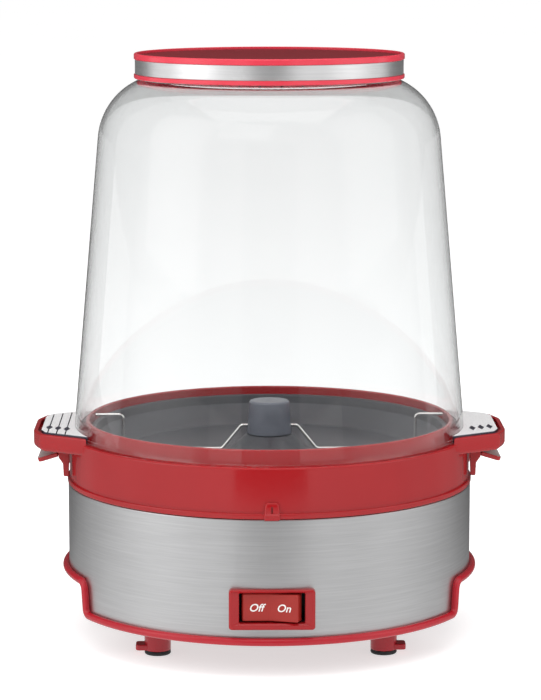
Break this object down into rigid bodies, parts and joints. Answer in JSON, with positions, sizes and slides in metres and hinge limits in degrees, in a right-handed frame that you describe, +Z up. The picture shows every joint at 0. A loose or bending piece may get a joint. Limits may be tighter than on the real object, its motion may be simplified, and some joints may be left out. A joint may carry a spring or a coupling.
{
  "type": "popcorn maker",
  "caption": "Electric stirring popcorn maker: steel base with rocker switch, red ring with latched handles, heated plate, wire stirrer, clear dome bowl and lid",
  "frame": {"origin": "on the surface it stands on, at the middle of the machine, which is its vertical axis", "axes": "+Z up, the front with the rocker switch faces -Y, the handles lie along X"},
  "size_m": [0.3068, 0.2728, 0.3784],
  "materials": {
    "brushed_steel": "brushed, fine horizontal grain",
    "red_plastic": "satin gloss",
    "rocker_red": "satin",
    "dark_red_plastic": "fine texture",
    "clear_plastic": "clear, polished",
    "smoke_plastic": "smoky translucent",
    "nonstick": "dark grey non-stick coating",
    "bright_wire": "polished stainless wire",
    "black_plastic": "moulded",
    "phenolic": "moulded phenolic",
    "nylon": "natural nylon",
    "rubber": "matte",
    "silicone": "matte",
    "aluminium": "cast and sheet",
    "plated_steel": "zinc plated",
    "element_sheath": "oxidised steel sheath",
    "lamination": "laminated iron",
    "copper": "enamelled winding",
    "wire_cover": "silicone sleeve"
  },
  "bodies": {
    "base": {"base_shell": "brushed_steel", "base_trim": "red_plastic", "bottom_cover": "red_plastic", "foot_post_front_right": "red_plastic", "foot_post_front_left": "red_plastic", "foot_post_rear_right": "red_plastic", "foot_post_rear_left": "red_plastic", "foot_pad_front_right": "rubber", "foot_pad_front_left": "rubber", "foot_pad_rear_right": "rubber", "foot_pad_rear_left": "rubber", "cover_screw_front_right": "plated_steel", "cover_screw_front_left": "plated_steel", "cover_screw_rear_right": "plated_steel", "cover_screw_rear_left": "plated_steel", "base_deck": "phenolic", "heat_shield": "aluminium", "heating_element": "element_sheath", "heater_plate": "aluminium", "thermostat": "plated_steel", "thermal_fuse": "plated_steel", "gearbox_housing": "nylon", "gearbox_cover": "nylon", "motor_core": "lamination", "motor_coil": "copper", "motor_bracket": "plated_steel", "motor_screw_left": "plated_steel", "motor_screw_right": "plated_steel", "switch_bezel": "red_plastic", "switch_body": "black_plastic", "cord_gland": "rubber", "wire_supply": "wire_cover", "wire_heater": "wire_cover", "wire_motor": "wire_cover"},
    "drive": {"drive_shaft": "plated_steel", "drive_coupling": "phenolic"},
    "idler": {"gear_1": "nylon"},
    "rotor": {"motor_rotor": "lamination"},
    "rocker": {"switch_rocker": "rocker_red"},
    "plate_unit": {"plate_housing": "red_plastic", "popping_plate": "nonstick", "plate_gasket": "silicone", "shaft_bush": "nylon", "latch_pin_left": "bright_wire", "latch_pin_right": "bright_wire"},
    "latch_left": {"latch_left": "red_plastic", "latch_spring_left": "bright_wire"},
    "latch_right": {"latch_right": "red_plastic", "latch_spring_right": "bright_wire"},
    "stir_shaft": {"stir_shaft": "bright_wire"},
    "stirrer": {"hub_core": "black_plastic", "hub_cap": "smoke_plastic", "stir_rod_left": "bright_wire", "stir_rod_right": "bright_wire"},
    "bowl": {"bowl": "clear_plastic"},
    "lid": {"lid_ring": "red_plastic", "lid_band": "brushed_steel", "lid_cover": "dark_red_plastic", "lid_seal": "silicone"}
  },
  "joints": [
    {"name": "plate_lift", "type": "slide", "parent": "base", "child": "plate_unit", "axis": [0, 0, 1], "range_m": [0, 0.06]},
    {"name": "bowl_lift", "type": "slide", "parent": "plate_unit", "child": "bowl", "axis": [0, 0, 1], "range_m": [0, 0.06]},
    {"name": "lid_lift", "type": "slide", "parent": "bowl", "child": "lid", "axis": [0, 0, 1], "range_m": [0, 0.03]},
    {"name": "drive_spin", "type": "hinge", "parent": "base", "child": "drive", "pos_m": [0, 0, 0.0968], "axis": [0, 0, 1], "continuous": true},
    {"name": "idler_spin", "type": "hinge", "parent": "base", "child": "idler", "pos_m": [0, 0.02625, 0.0725], "axis": [0, 0, 1], "continuous": true},
    {"name": "rotor_spin", "type": "hinge", "parent": "base", "child": "rotor", "pos_m": [0, 0.0525, 0.0725], "axis": [0, 0, 1], "continuous": true},
    {"name": "stir_spin", "type": "hinge", "parent": "plate_unit", "child": "stir_shaft", "pos_m": [0, 0, 0.1295], "axis": [0, 0, 1], "continuous": true},
    {"name": "stirrer_lift", "type": "slide", "parent": "stir_shaft", "child": "stirrer", "axis": [0, 0, 1], "range_m": [0, 0.03]},
    {"name": "rocker_tilt", "type": "hinge", "parent": "base", "child": "rocker", "pos_m": [0, -0.124, 0.0445], "axis": [0, 0, 1], "range_deg": [0, 14]},
    {"name": "latch_right_squeeze", "type": "hinge", "parent": "plate_unit", "child": "latch_right", "pos_m": [0.1345, 0, 0.12], "axis": [0, -1, 0], "range_deg": [0, 12], "stiffness_Nm_per_rad": 0.03, "springref_deg": -8.59},
    {"name": "latch_left_squeeze", "type": "hinge", "parent": "plate_unit", "child": "latch_left", "pos_m": [-0.1345, 0, 0.12], "axis": [0, 1, 0], "range_deg": [0, 12], "stiffness_Nm_per_rad": 0.03, "springref_deg": -8.59}
  ],
  "couplings": [
    {"joint": "idler_spin", "follows": "drive_spin", "ratio": -3.2},
    {"joint": "rotor_spin", "follows": "drive_spin", "ratio": 10.24},
    {"joint": "stir_spin", "follows": "drive_spin", "ratio": 1}
  ]
}
